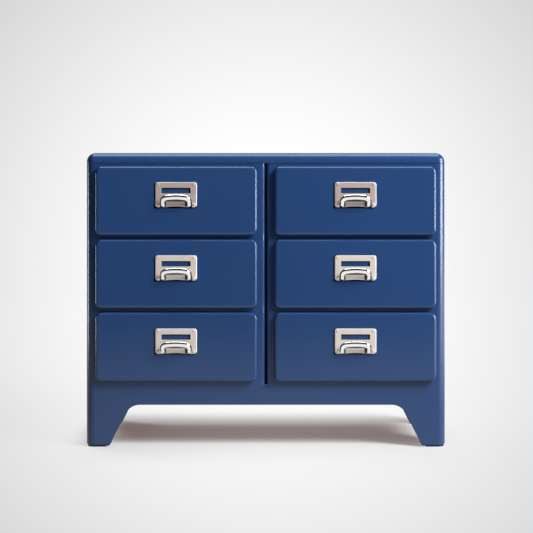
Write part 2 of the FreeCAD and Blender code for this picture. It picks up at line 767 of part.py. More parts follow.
def bow_outline(half, top, arch_radius, foot):
    """An arch with a shallow ridge, whose fillets make the curve of its top edge."""
    slope = size.bow_slope
    ridge = top + arch_radius / slope.trig("cos") - arch_radius
    shoulder = ridge - half * slope.trig("tan")
    return [(-half, foot), (half, foot), (half, shoulder), (ZERO, ridge), (-half, shoulder)]


def bow_form(name, half, top, arch_radius, corner_radius, foot, front, back):
    """A solid arch, with its ridge and its shoulders rounded."""
    body = extruded(name, "XZ_Plane", [bow_outline(half, top, arch_radius, foot)], front, back)
    upper = both(along("Y"), higher_than(foot))
    shoulders = either(in_plane("X", half), in_plane("X", -half))
    rounded(body, f"{name}_ridge", arch_radius, both(upper, in_plane("X", ZERO)))
    return rounded(body, f"{name}_shoulders", corner_radius, both(upper, shoulders))


def bow(number):
    """The arched bow, leaning forward and cut off flush with the plate's face."""
    name = f"bow_{number}"
    half = size.bow_width / 2
    foot = -size.bow_thickness * 2
    outer = bow_form(f"{name}_outer", half, size.bow_height, size.bow_arch_radius,
                     size.bow_corner, foot, -size.bow_thickness, ZERO)
    opening = bow_form(f"{name}_opening", half - size.bow_leg, size.bow_height - size.bow_bar,
                       size.bow_arch_radius - size.bow_bar, size.bow_inner_corner,
                       foot - TOOL_REACH, -size.bow_thickness - TOOL_REACH, TOOL_REACH)
    arch = cut(f"{name}_arch", outer, [opening])
    doc.recompute()
    above_foot = higher_than(foot)
    front = both(in_plane("Y", -size.bow_thickness), above_foot)
    back = both(in_plane("Y", ZERO), above_foot)
    rounded_arch = round_edges(f"{name}_rounded", arch, [(front, size.bow_crown), (back, size.bow_edge)])
    rounded_arch.Placement.Rotation = FreeCAD.Rotation(FreeCAD.Vector(1, 0, 0), size.bow_lean.number)
    plate_bottom = size.plate_rise - size.plate_height / 2
    heel = plate_bottom + size.bow_foot_rise + size.bow_thickness / lean_sine
    place(rounded_arch, ZERO, plate_face, heel)
    reach = size.bow_width
    behind_plate = block(f"{name}_behind", (-reach, plate_face, -reach), (reach, plate_face + reach, reach))
    return cut(f"{name}_trimmed", rounded_arch, [behind_plate])


def handle(number):
    """A bright bow leaning forward from the plate, with a riveted ear beside each foot."""
    pieces = [bow(number)]
    holes = []
    for side in (-1, 1):
        tag = f"ear_{number}_{SIDE_NAMES[side]}"
        rivet_x, rivet_z = rivet_place(side, -1)
        half_ear = size.ear_height / 2
        ear_root = (size.bow_width - size.bow_leg) / 2
        outline = rectangle(ear_root, rivet_z - half_ear, size.ear_reach, rivet_z + half_ear)
        ear = extruded(tag, "XZ_Plane", [mirrored(outline, side)],
                       plate_face - size.ear_thickness, plate_face)
        end = size.ear_reach * side
        pieces.append(rounded(ear, f"{tag}_end", size.ear_round, both(along("Y"), in_plane("X", end))))
        holes.append(cylinder(f"{tag}_hole", size.rivet_shank + size.rivet_clearance,
                              size.ear_thickness + TOOL_REACH, rivet_x, plate_face, rivet_z))
    whole = fuse(f"bow_{number}_with_ears", pieces)
    return drawer_place(cut(f"drawer_{number}_handle", whole, holes), number)


def rivets(number):
    """Four round-headed rivets, the lower two through the handle's ears."""
    pins = []
    tail_end = pan_face + size.drawer_sheet + size.rivet_tail
    for side in (-1, 1):
        for rise in (-1, 1):
            x, z = rivet_place(side, rise)
            under_head = plate_face - size.ear_thickness if rise < 0 else plate_face
            tag = f"rivet_{number}_{side}_{rise}"
            tail = cylinder(f"{tag}_tail", size.rivet_head, size.rivet_tail, x, tail_end, z)
            shank = cylinder(f"{tag}_shank", size.rivet_shank, tail_end - under_head, x, tail_end, z)
            head = domed_head(f"{tag}_head", x, under_head, z)
            pins.append(fuse(tag, [tail, shank, head]))
    return drawer_place(group(f"drawer_{number}_rivets", pins), number)


def domed_head(name, x, back, z):
    """A rivet's head, a disc with its front edge rounded."""
    disc = cylinder(f"{name}_disc", size.rivet_head, size.rivet_head_height, x, back, z)
    doc.recompute()
    return round_edges(name, disc, [(in_plane("Y", back - size.rivet_head_height), size.rivet_dome)])


DRAWER_MAKERS = (runners, drawer_front, drawer_box, drawer_slides, slide_shoes, label_plate, handle, rivets)


def build_nodes():
    """Every sub-part of the chest by its node name."""
    nodes = dict(carcass_panels())
    nodes["top_cap"] = top_cap()
    nodes["floor_panel"] = floor_panel()
    nodes["left_inner_wall"] = inner_wall("left_inner_wall", -1)
    nodes["right_inner_wall"] = inner_wall("right_inner_wall", 1)
    nodes["foot_glides"] = foot_glides()
    nodes["runner_pads"] = runner_pads()
    nodes["front_bumpers"] = front_bumpers()
    for number in DRAWER_NUMBERS:
        for make in DRAWER_MAKERS:
            item = make(number)
            nodes[item.Label] = item
    return nodes


nodes = build_nodes()
doc.recompute()
broken = [item.Name for item in doc.Objects if {"Invalid", "Error"} & set(item.State)]
if broken:
    raise RuntimeError(f"not built: {broken}")
os.makedirs(PARTS_FOLDER, exist_ok=True)
for name, item in nodes.items():
    shape = item.Shape
    if shape.isNull() or not shape.isValid():
        raise RuntimeError(f"{name}: no valid shape")
    shape.exportStep(os.path.join(PARTS_FOLDER, f"{name}.step"))
    print(f"{name}: {len(shape.Solids)} solids, {shape.Volume:.0f} mm3")
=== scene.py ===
import math
from typing import NamedTuple

import bmesh
import bpy
from bpy.props import FloatProperty, FloatVectorProperty, PointerProperty
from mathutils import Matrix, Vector


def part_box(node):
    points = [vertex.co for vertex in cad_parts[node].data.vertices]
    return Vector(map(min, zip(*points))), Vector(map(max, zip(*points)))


bl_info = {
    "name": "Steel Drawer Chest",
    "version": (1, 0, 0),
    "blender": (4, 5, 0),
    "location": "View3D > Sidebar > Drawer Chest",
    "description": "Paint, plating and studio for a six-drawer sheet-steel chest",
    "category": "Object",
}

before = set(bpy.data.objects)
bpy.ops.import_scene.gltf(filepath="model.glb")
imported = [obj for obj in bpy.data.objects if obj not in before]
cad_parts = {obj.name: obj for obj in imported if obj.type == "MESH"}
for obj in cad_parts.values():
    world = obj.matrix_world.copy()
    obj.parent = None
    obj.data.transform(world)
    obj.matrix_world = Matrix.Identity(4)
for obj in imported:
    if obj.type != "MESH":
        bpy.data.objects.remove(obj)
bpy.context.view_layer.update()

DRAWERS = range(1, 7)
TOP_ROW = (1, 4)
RIGHT_COLUMN = (4, 5, 6)
CARCASS = ("top_cap", "front_frame", "left_side_panel", "right_side_panel")
HIDDEN_SHEETS = ("floor_panel", "left_inner_wall", "right_inner_wall")
IMAGE_WIDTH = 533.0
SENSOR_WIDTH = 36.0
WHITE = (1.0, 1.0, 1.0)


class Patch(NamedTuple):
    """A rectangle on a label plate, in metres: its middle from the plate's middle, and its half sizes."""

    across: float
    up: float
    half_width: float
    half_height: float
    soft: float = 0.0012


class Lamp(NamedTuple):
    """A rectangular lamp: its place, the point it faces and its size in metres, and its radiance."""

    name: str
    place: tuple
    aim: tuple
    width: float
    height: float
    radiance: float
    colour: tuple = WHITE


# The painted line of shade under the top cap: its reach from the seam in metres, its tone of the enamel
# and its roughness.
SEAM_LINE = 0.0010
SEAM_TONE = 0.35
SEAM_ROUGHNESS = 0.35

# The painted shadow of a label plate: how far it lies off the plate in metres, the light of the plate's
# window in it, and its tone of the enamel.
PLATE_SHADE = (-0.0034, -0.0028)
WINDOW_LIGHT = Patch(across=-0.0042, up=0.0078, half_width=0.03475, half_height=0.0065)
SHADE_TONE = 0.06

# Painted shade on a label plate behind the bow, the lighter painted part in the bow's opening, and its
# tone.
BEHIND_BOW = Patch(across=0.0, up=-0.0355, half_width=0.031, half_height=0.0245)
BOW_OPENING = Patch(across=-0.0013, up=-0.0384, half_width=0.0227, half_height=0.0216, soft=0.003)
OPENING_LIGHT_TONE = 1.12

# Steps of one part of the normal, for painted light and shade: the faces inside the back panel, a plate's
# rim, and a bow's sides and underside.
INNER_FACES = (-0.6, -0.3)
PLATE_RIM = (-0.95, -0.70)
BOW_SIDES = (0.45, 0.72)
BOW_UNDERSIDE = (-0.86, -0.68)

# The tone of the painted shade inside the back panel, and where a bow's ears start, in metres from the
# bow's middle.
INSIDE_SHADE_TONE = 0.25
EAR_START = (0.0382, 0.0392)

# The satin plating's share of metal, and what is left of it under the painted highlight and painted shade.
SATIN_METAL = 0.3
PAINTED_MARK_METAL = 0.05

# The scale of each finish's lines on X, Y and Z, and the depth of each relief in metres.
PLATE_LINES = (60.0, 2600.0, 2600.0)
BOW_LINES = (160.0, 1900.0, 1900.0)
ZINC_LINES = (1500.0, 25.0, 1500.0)
PLATE_RELIEF = 0.000008
BOW_RELIEF = 0.000006
ZINC_RELIEF = 0.00001
NYLON_RELIEF = 0.00001
RUBBER_RELIEF = 0.00002
NYLON_GRAIN = 2200.0
RUBBER_GRAIN = 1500.0
SUBSURFACE_DEPTH = 0.002

# The profile of the floor and the backdrop, in metres: its ends, the radius of the turn between them, its
# top and half its width. The turn is made of straight steps.
FLOOR_FRONT = -14.0
FLOOR_BACK = 7.0
FLOOR_TURN = 3.0
FLOOR_TOP = 8.0
FLOOR_HALF = 9.0
TURN_STEPS = 24

# The paper's painted level of light: how far its bright middle lies below the horizon as a slope, its fall,
# its least value, its value near the camera, and the step from that to the fall, in metres.
MIDDLE_BELOW = 0.042
LEVEL_FALL = 6.9
LEAST_LEVEL = 0.60
NEAR_LEVEL = 0.98
NEAR_STEP = (-1.6, -1.0)

# The part of the floor that takes the lamps' light and shade, in metres, and the share that is taken
# outside and inside it.
MAT_BESIDE = (0.36, 0.50)
MAT_BEFORE = (-0.50, 0.02)
MAT_BEHIND = (0.12, 0.40)
MAT_SHARE = (0.06, 0.98)

# What gloss shows of the paper, as two steps in metres and the share at each of their ends.
# Gloss sees the paper's glow faint far in front and brighter to the right, as a painted pool of light.
MIRRORED_AWAY = (-3.4, -0.5, 0.03, 1.0)
MIRRORED_ACROSS = (0.9, 2.4, 1.0, 3.4)

# Lamps that show in gloss and don't light dull surfaces, then lamps that light them and don't show in
# gloss.
CHEST_MIDDLE = (0.0, -0.17, 0.40)
GLOSS_LAMPS = (
    Lamp("key_softbox", (4.17, -1.54, 1.62), CHEST_MIDDLE, 2.4, 2.8, 14.5, (0.93, 0.97, 1.0)),
    Lamp("top_softbox", (0.0, 0.12, 2.6), (0.0, 0.1, 0.4), 2.6, 1.6, 4.4, (0.84, 0.93, 0.95)),
    Lamp("left_softbox", (-2.4, 0.42, 0.36), (0.0, 0.1, 0.36), 0.42, 0.71, 10.5, (0.90, 0.95, 1.0)),
    Lamp("low_softbox", (4.1, -1.5, 0.36), (0.0, -0.17, 0.36), 2.4, 0.7, 4.5),
)
FILL_LAMPS = (
    Lamp("side_fill", (2.3, -1.9, 2.7), CHEST_MIDDLE, 1.1, 2.0, 26.0),
    Lamp("low_fill", (4.17, -1.54, 1.62), CHEST_MIDDLE, 2.4, 2.8, 2.6),
    Lamp("floor_bounce", (0.0, -1.75, 0.01), (0.0, -1.75, 1.0), 4.0, 2.6, 0.57),
    Lamp("rear_fill", (-2.6, 2.6, 3.4), (0.0, 0.0, 0.4), 2.0, 2.0, 5.5),
)


def colour_property(name, description, default):
    return FloatVectorProperty(
        name=name, description=description, subtype="COLOR", size=3, min=0.0, max=1.0, default=default
    )


class ChestPaint(bpy.types.PropertyGroup):
    """The baked enamel on the sheet steel."""

    colour: colour_property("Enamel", "Colour of the enamel", (0.0230, 0.0675, 0.199))
    roughness: FloatProperty(
        name="Roughness", description="Roughness of the enamel", min=0.0, max=1.0, default=0.19
    )
    peel: FloatProperty(
        name="Orange Peel", description="Depth of the paint's fine ripple",
        unit="LENGTH", min=0.0, max=0.001, precision=7, default=0.0000008,
    )
    peel_size: FloatProperty(
        name="Peel Size", description="Width of one ripple of the paint",
        unit="LENGTH", min=0.0005, max=0.02, precision=4, default=0.0022,
    )


class ChestPlating(bpy.types.PropertyGroup):
    """The plated fittings."""

    plate_colour: colour_property("Satin Nickel", "Colour of the label plates", (0.88, 0.785, 0.715))
    # The top row's plates are painted darker than the rest, as painted shade.
    shaded_top_plate_colour: colour_property(
        "Shaded Nickel", "Colour of the top row's label plates", (0.60, 0.485, 0.44)
    )
    # The plates' edges take this colour as a painted highlight.
    highlight_rim_colour: colour_property("Highlight Nickel", "Colour of the plates' rubbed edges", (0.96, 0.92, 0.88))
    plate_roughness: FloatProperty(
        name="Plate Roughness", description="Roughness of the label plates", min=0.0, max=1.0, default=0.48
    )
    bow_colour: colour_property("Bright Nickel", "Colour of the handle bows", (1.0, 0.985, 0.965))
    # Colour of the painted shade behind the bows and of the painted dark reflections on their sides and
    # underside.
    painted_dark_colour: colour_property("Shade", "Colour of the bows' sides", (0.035, 0.03, 0.03))
    bow_roughness: FloatProperty(
        name="Bow Roughness", description="Roughness of the handle bows", min=0.0, max=1.0, default=0.07
    )
    zinc_colour: colour_property("Zinc", "Colour of the runners and slides", (0.60, 0.62, 0.63))


class ChestStudio(bpy.types.PropertyGroup):
    """The camera, the floor and the room."""

    distance: FloatProperty(
        name="Camera Distance", description="Camera to the front of the chest",
        unit="LENGTH", min=0.5, max=20.0, default=3.3,
    )
    height: FloatProperty(
        name="Camera Height", description="Camera above the floor",
        unit="LENGTH", min=0.0, max=5.0, default=0.611,
    )
    aside: FloatProperty(
        name="Aside", description="The chest's middle left of the picture's middle, in picture elements",
        min=-100.0, max=100.0, default=0.7,
    )
    scale: FloatProperty(
        name="Image Scale", description="Picture elements for one metre at the front of the chest",
        min=10.0, max=2000.0, default=416.3,
    )
    horizon: FloatProperty(
        name="Horizon", description="The horizon below the top of the picture, in picture elements",
        min=0.0, max=533.0, default=192.5,
    )
    paper_level: FloatProperty(
        name="Paper Level", description="What the middle of the floor and the backdrop shows",
        min=0.0, max=1.2, default=1.068,
    )
    paper_colour: colour_property("Paper", "Colour of the floor round the chest", (0.70, 0.75, 0.766))
    floor_light: FloatProperty(
        name="Floor Light", description="What the lamps give the floor round the chest",
        min=0.0, max=3.0, default=1.045,
    )
    pale_level: FloatProperty(
        name="Surroundings", description="Level of the room as it is seen", min=0.0, max=1.0, default=0.85
    )
    world_level: FloatProperty(
        name="Ambient Level", description="Light from the surroundings", min=0.0, max=2.0, default=0.02
    )


class NodeTree:
    """A short way to add nodes to a material."""

    def __init__(self, name):
        self.material = bpy.data.materials.new(name)
        self.material.use_nodes = True
        self.nodes = self.material.node_tree.nodes
        self.links = self.material.node_tree.links
        self.shader = self.nodes["Principled BSDF"]
        coordinates = self.nodes.new("ShaderNodeTexCoord").outputs
        self.place = coordinates["Object"]
        self.facing = coordinates["Normal"]

    def add(self, kind, inputs=(), **settings):
        node = self.nodes.new(kind)
        for key, value in settings.items():
            setattr(node, key, value)
        for socket, value in dict(inputs).items():
            self.feed(node.inputs[socket], value)
        return node

    def feed(self, socket, value):
        if isinstance(value, bpy.types.NodeSocket):
            self.links.new(value, socket)
        else:
            socket.default_value = value

    def math(self, operation, *values):
        node = self.add("ShaderNodeMath", operation=operation)
        for socket, value in zip(node.inputs, values):
            self.feed(socket, value)
        return node.outputs[0]

    def times(self, first, second):
        return self.math("MULTIPLY", first, second)

    def less(self, mask, cut):
        """A mask without the part that another one covers."""
        return self.times(mask, self.math("SUBTRACT", 1.0, cut))

    def split(self, vector):
        """The three parts of a vector."""
        return self.add("ShaderNodeSeparateXYZ", {"Vector": vector}).outputs

    def join(self, channels):
        """A colour from its three channels."""
        inputs = dict(zip(("Red", "Green", "Blue"), channels))
        return self.add("ShaderNodeCombineColor", inputs).outputs["Color"]

    def stretched(self, scale):
        """Object coordinates, stretched by a factor on each axis."""
        return self.add("ShaderNodeMapping", {"Vector": self.place, "Scale": scale}).outputs["Vector"]

    def noise(self, scale, detail=2.0, vector=None, roughness=0.5):
        inputs = {"Vector": vector or self.place, "Scale": scale, "Detail": detail, "Roughness": roughness}
        return self.add("ShaderNodeTexNoise", inputs).outputs["Fac"]

    def between(self, factor, low, high):
        """A number that follows a factor from one value to another."""
        node = self.add("ShaderNodeMapRange", {"Value": factor, "To Min": low, "To Max": high})
        return node.outputs["Result"]

    def ramp(self, factor, start, end, low=0.0, high=1.0):
        """A smooth step between two values of a factor."""
        inputs = {"Value": factor, "From Min": start, "From Max": end, "To Min": low, "To Max": high}
        return self.add("ShaderNodeMapRange", inputs, interpolation_type="SMOOTHSTEP").outputs["Result"]

    def fade(self, factor, start, end):
        """A smooth step down from one to nought."""
        return self.ramp(factor, start, end, 1.0, 0.0)

    def mix(self, factor, first, second):
        node = self.add("ShaderNodeMix", data_type="FLOAT")
        for index, value in ((0, factor), (2, first), (3, second)):
            self.feed(node.inputs[index], value)
        return node.outputs[0]

    def blend(self, factor, first, second):
        node = self.add("ShaderNodeMix", data_type="RGBA")
        self.feed(node.inputs["Factor"], factor)
        self.feed(node.inputs[6], first)
        self.feed(node.inputs[7], second)
        return node.outputs[2]

    def tones(self, factor, colour, low, high):
        """A colour that follows a factor from one tone of it to another."""
        return self.blend(factor, opaque(colour, low), opaque(colour, high))

    def bump(self, height, depth):
        inputs = {"Height": height, "Distance": depth, "Strength": 1.0}
        return self.add("ShaderNodeBump", inputs).outputs["Normal"]

    def surface(self, **values):
        """Set or link the shader's sockets."""
        for key, value in values.items():
            self.feed(self.shader.inputs[key.replace("_", " ")], value)


def opaque(colour, factor=1.0):
    """A tone of a colour, with its alpha."""
    return tuple(min(channel * factor, 1.0) for channel in colour) + (1.0,)


def enamel(name, paint, gloss=1.0, seam=None, inside_shade=False, plated=False):
    """Baked enamel: a fine ripple, slow changes of gloss and a faint change of depth in the colour.

    A seam at a height holds a painted line of shade. Where inside_shade is set, faces turned to the front,
    as inside the back panel, are darkened with painted shade. Where plated is set, it takes the painted
    shadow of the label plate.
    """
    tree = NodeTree(name)
    drift = tree.noise(scale=2.3, detail=3.0)
    colour = tree.tones(drift, paint.colour, low=0.93, high=1.07)
    ripple = tree.noise(1.0 / paint.peel_size)
    rubbed = tree.noise(scale=26.0, detail=4.0)
    roughness = paint.roughness / gloss
    polish = tree.between(rubbed, low=roughness * 0.88, high=roughness * 1.12)
    # A painted line of shade along the seam under the top cap, with rougher enamel in it.
    if seam:
        height = tree.split(tree.place)[2]
        away = tree.math("ABSOLUTE", tree.math("SUBTRACT", height, seam))
        line = tree.fade(away, SEAM_LINE * 0.5, SEAM_LINE)
        colour = tree.blend(line, colour, opaque(paint.colour, SEAM_TONE))
        polish = tree.mix(line, polish, SEAM_ROUGHNESS)
    # Faces turned to the front, as inside the back panel, are darkened with painted shade.
    if inside_shade:
        inward = tree.fade(tree.split(tree.facing)[1], *INNER_FACES)
        colour = tree.blend(inward, colour, opaque(paint.colour, INSIDE_SHADE_TONE))
    # Fronts that carry label plates take the plates' painted shadow.
    if plated:
        colour = tree.blend(plate_shade(tree), colour, opaque(paint.colour, SHADE_TONE))
    tree.surface(Base_Color=colour, Roughness=polish, Normal=tree.bump(ripple, paint.peel), IOR=1.5)
    return tree.material


def plate_middle(number=4):
    """The middle of a drawer's label plate."""
    low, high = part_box(f"drawer_{number}_label_plate")
    return low.lerp(high, 0.5)


def on_plate(tree):
    """Across and up from the middle of the nearest label plate."""
    across, _, up = tree.split(tree.place)
    heights = sorted(plate_middle(number).z for number in RIGHT_COLUMN)
    pitch = heights[1] - heights[0]
    column = tree.times(tree.math("SIGN", across), plate_middle().x)
    rise = tree.math("WRAP", tree.math("SUBTRACT", up, heights[1]), pitch / 2, -pitch / 2)
    return tree.math("SUBTRACT", across, column), rise


def on_patch(tree, place, patch):
    """One inside a patch, nought outside it, for a place across and up from the middle of a label plate."""
    inside = []
    for way, middle, half in zip(place, (patch.across, patch.up), (patch.half_width, patch.half_height)):
        away = tree.math("ABSOLUTE", tree.math("SUBTRACT", way, middle))
        inside.append(tree.fade(away, half - patch.soft / 2, half + patch.soft / 2))
    return tree.times(*inside)


def plate_shade(tree):
    """The painted shadow of a label plate on the paint: the plate's shape moved off the light.

    The light that its window lets through is left out of the painted shadow.
    """
    place = on_plate(tree)
    low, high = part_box("drawer_4_label_plate")
    half = (high - low) / 2
    plate = on_patch(tree, place, Patch(*PLATE_SHADE, half.x, half.z))
    return tree.less(plate, on_patch(tree, place, WINDOW_LIGHT))


def satin_nickel(name, plating, colour):
    """Nickel plate over a brushed face: short lines along X, with a painted highlight on its rim.

    Behind the bow it takes painted shade, round a part in the bow's opening that is painted lighter.
    """
    tree = NodeTree(name)
    lines = tree.noise(scale=1.0, detail=3.0, vector=tree.stretched(PLATE_LINES))
    patches = tree.noise(scale=55.0)
    face = tree.tones(patches, colour, low=0.95, high=1.05)
    place = on_plate(tree)
    # The part in the bow's opening is painted lighter, and the plate round it behind the bow takes painted
    # shade.
    opening = on_patch(tree, place, BOW_OPENING)
    face = tree.blend(opening, face, opaque(colour, OPENING_LIGHT_TONE))
    bow_shade = tree.less(on_patch(tree, place, BEHIND_BOW), opening)
    face = tree.blend(bow_shade, face, opaque(plating.painted_dark_colour))
    # The rim, turned away from the front, is painted as a bright highlight.
    rim_highlight = tree.ramp(tree.split(tree.facing)[1], *PLATE_RIM)
    roughness = plating.plate_roughness
    tree.surface(
        Base_Color=tree.blend(rim_highlight, face, opaque(plating.highlight_rim_colour)),
        Metallic=tree.mix(tree.math("MAXIMUM", rim_highlight, bow_shade), SATIN_METAL, PAINTED_MARK_METAL),
        Roughness=tree.between(lines, low=roughness * 0.8, high=roughness * 1.2),
        Normal=tree.bump(lines, PLATE_RELIEF),
    )
    return tree.material


def bright_nickel(plating):
    """Bright plating on the bow, with painted dark reflections on its sides and underside, and satin
    plating on its ears.

    The ears reach beyond the bow, so the distance from the middle of a column tells them from it.
    """
    tree = NodeTree("bright_nickel")
    ripple = tree.noise(scale=240.0, detail=1.0)
    lines = tree.noise(scale=1.0, detail=4.0, vector=tree.stretched(BOW_LINES))
    bright = tree.tones(ripple, plating.bow_colour, low=0.97, high=1.03)
    across, _, up = tree.split(tree.facing)
    # The sides and the underside, found by their normals, take a painted dark reflection.
    sides = tree.ramp(tree.math("ABSOLUTE", across), *BOW_SIDES)
    underside = tree.fade(up, *BOW_UNDERSIDE)
    bright = tree.blend(tree.math("MAXIMUM", sides, underside), bright, opaque(plating.painted_dark_colour))
    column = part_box("drawer_4_handle")[0].lerp(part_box("drawer_4_handle")[1], 0.5).x
    off_middle = tree.math("SUBTRACT", tree.math("ABSOLUTE", tree.split(tree.place)[0]), column)
    ear = tree.ramp(tree.math("ABSOLUTE", off_middle), *EAR_START)
    roughness = plating.bow_roughness
    polish = tree.between(lines, low=roughness * 0.6, high=roughness * 1.5)
    tree.surface(
        Base_Color=tree.blend(ear, bright, opaque(plating.plate_colour)),
        Metallic=tree.mix(ear, 1.0, SATIN_METAL),
        Roughness=tree.mix(ear, polish, plating.plate_roughness),
        Normal=tree.bump(ripple, BOW_RELIEF),
    )
    return tree.material


def zinc_plate(plating):
    """Bright zinc on rolled steel: a fine spangle and lines along the rolling."""
    tree = NodeTree("zinc_plate")
    spangle = tree.add("ShaderNodeTexVoronoi", {"Vector": tree.place, "Scale": 240.0}).outputs["Color"]
    cells = tree.add("ShaderNodeSeparateColor", {"Color": spangle}).outputs[0]
    lines = tree.noise(scale=1.0, detail=3.0, vector=tree.stretched(ZINC_LINES))
    tree.surface(
        Base_Color=tree.tones(cells, plating.zinc_colour, low=0.88, high=1.08),
        Metallic=1.0,
        Roughness=tree.between(lines, low=0.26, high=0.44),
        Normal=tree.bump(lines, ZINC_RELIEF),
    )
    return tree.material


def moulded(name, colour, roughness, grain_scale, grain_depth, subsurface=0.0):
    """Moulded nylon or rubber with a fine spark-eroded grain."""
    tree = NodeTree(name)
    grain = tree.noise(grain_scale, detail=3.0, roughness=0.6)
    cloud = tree.noise(scale=30.0)
    tree.surface(
        Base_Color=tree.tones(cloud, colour, low=0.92, high=1.06),
        Roughness=tree.between(grain, low=roughness - 0.06, high=roughness + 0.06),
        Normal=tree.bump(grain, grain_depth),
        Subsurface_Weight=subsurface,
        Subsurface_Scale=SUBSURFACE_DEPTH,
    )
    return tree.material


def dress(names, material):
    """Give CAD nodes a material."""
    for name in names:
        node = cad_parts[name]
        node.data.materials.clear()
        node.data.materials.append(material)


def drawer_nodes(suffix, drawers=DRAWERS):
    return [f"drawer_{number}_{suffix}" for number in drawers]


class ChestOperator:
    """What the chest's operators share."""

    bl_options = {"REGISTER", "UNDO"}


class CHEST_OT_carcass(ChestOperator, bpy.types.Operator):
    """Paint the welded carcass, outside and inside"""

    bl_idname = "chest.carcass"
    bl_label = "Carcass"

    def execute(self, context):
        paint = context.scene.chest_paint
        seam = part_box("front_frame")[1].z
        dress(CARCASS, enamel("enamel_carcass", paint, seam=seam))
        # The inside faces of the back panel take painted shade.
        dress(["back_panel"], enamel("enamel_back", paint, seam=seam, inside_shade=True))
        dress(HIDDEN_SHEETS, enamel("enamel_inside", paint, gloss=0.8))
        return {"FINISHED"}


class CHEST_OT_drawers(ChestOperator, bpy.types.Operator):
    """Paint the drawer fronts and the drawer boxes"""

    bl_idname = "chest.drawers"
    bl_label = "Drawers"

    def execute(self, context):
        paint = context.scene.chest_paint
        # The drawer fronts take the painted shadow of their label plates.
        dress(drawer_nodes("front"), enamel("enamel_fronts", paint, gloss=1.35, plated=True))
        dress(drawer_nodes("box"), enamel("enamel_boxes", paint, gloss=0.85))
        return {"FINISHED"}


class CHEST_OT_fittings(ChestOperator, bpy.types.Operator):
    """Plate the label plates, their rivets and the handle bows"""

    bl_idname = "chest.fittings"
    bl_label = "Plates and Bows"

    def execute(self, context):
        plating = context.scene.chest_plating
        satin = satin_nickel("satin_nickel", plating, plating.plate_colour)
        dress(drawer_nodes("label_plate") + drawer_nodes("rivets"), satin)
        # A darker copy of the plating gives the top row's plates painted shade.
        shaded_plating = satin_nickel("shaded_nickel", plating, plating.shaded_top_plate_colour)
        dress(drawer_nodes("label_plate", TOP_ROW) + drawer_nodes("rivets", TOP_ROW), shaded_plating)
        dress(drawer_nodes("handle"), bright_nickel(plating))
        return {"FINISHED"}


class CHEST_OT_slides(ChestOperator, bpy.types.Operator):
    """Finish the runners, the slides and their nylon"""

    bl_idname = "chest.slides"
    bl_label = "Runners and Slides"

    def execute(self, context):
        plating = context.scene.chest_plating
        dress(drawer_nodes("runners") + drawer_nodes("slides"), zinc_plate(plating))
        nylon = moulded(
            "white_nylon", (0.80, 0.79, 0.75), roughness=0.42,
            grain_scale=NYLON_GRAIN, grain_depth=NYLON_RELIEF, subsurface=0.15,
        )
        dress(drawer_nodes("slide_shoes") + ["runner_pads"], nylon)
        return {"FINISHED"}


class CHEST_OT_feet(ChestOperator, bpy.types.Operator):
    """Finish the foot glides and the front bumpers"""

    bl_idname = "chest.feet"
    bl_label = "Glides and Bumpers"

    def execute(self, context):
        nylon = moulded(
            "black_nylon", (0.012, 0.018, 0.035), roughness=0.5,
            grain_scale=NYLON_GRAIN, grain_depth=NYLON_RELIEF,
        )
        dress(["foot_glides"], nylon)
        rubber = moulded(
            "black_rubber", (0.03, 0.03, 0.03), roughness=0.7,
            grain_scale=RUBBER_GRAIN, grain_depth=RUBBER_RELIEF,
        )
        dress(["front_bumpers"], rubber)
        return {"FINISHED"}


def placed(name, data):
    """A new object in the scene."""
    holder = bpy.data.objects.new(name, data)
    bpy.context.scene.collection.objects.link(holder)
    return holder


def softbox(lamp):
    """A rectangular lamp of a given radiance, turned to a point."""
    data = bpy.data.lights.new(lamp.name, "AREA")
    data.shape = "RECTANGLE"
    data.size = lamp.width
    data.size_y = lamp.height
    data.energy = lamp.radiance * math.pi * lamp.width * lamp.height
    data.color = lamp.colour
    holder = placed(lamp.name, data)
    holder.location = lamp.place
    holder.rotation_euler = (Vector(lamp.aim) - Vector(lamp.place)).to_track_quat("-Z", "Y").to_euler()
    holder.visible_camera = False
    return holder


def seen(tree, mirrored):
    """One for what the camera sees, a share of it for gloss and glass, and nought for a dull surface."""
    path = tree.add("ShaderNodeLightPath").outputs
    gloss = tree.math("MAXIMUM", path["Is Glossy Ray"], path["Is Transmission Ray"])
    return tree.math("MAXIMUM", path["Is Camera Ray"], tree.times(gloss, mirrored))


def swept_floor():
    """The mesh of a floor that turns up into a backdrop, swept from one profile."""
    work = bmesh.new()
    corner = work.verts.new((-FLOOR_HALF, FLOOR_FRONT, 0.0))
    turn = work.verts.new((-FLOOR_HALF, FLOOR_BACK - FLOOR_TURN, 0.0))
    work.edges.new((corner, turn))
    spun = bmesh.ops.spin(
        work, geom=[turn], cent=(-FLOOR_HALF, FLOOR_BACK - FLOOR_TURN, FLOOR_TURN),
        axis=(1.0, 0.0, 0.0), angle=math.pi / 2, steps=TURN_STEPS,
        use_merge=False, dvec=(0.0, 0.0, 0.0), use_duplicate=False,
    )
    end = next(item for item in spun["geom_last"] if isinstance(item, bmesh.types.BMVert))
    rise = work.verts.new((-FLOOR_HALF, FLOOR_BACK, FLOOR_TOP))
    work.edges.new((end, rise))
    swept = bmesh.ops.extrude_edge_only(work, edges=list(work.edges))
    moved = [item for item in swept["geom"] if isinstance(item, bmesh.types.BMVert)]
    bmesh.ops.translate(work, verts=moved, vec=(FLOOR_HALF * 2, 0.0, 0.0))
    bmesh.ops.recalc_face_normals(work, faces=work.faces)
    mesh = bpy.data.meshes.new("studio_floor")
    work.to_mesh(mesh)
    work.free()
    for face in mesh.polygons:
        face.use_smooth = True
    return mesh


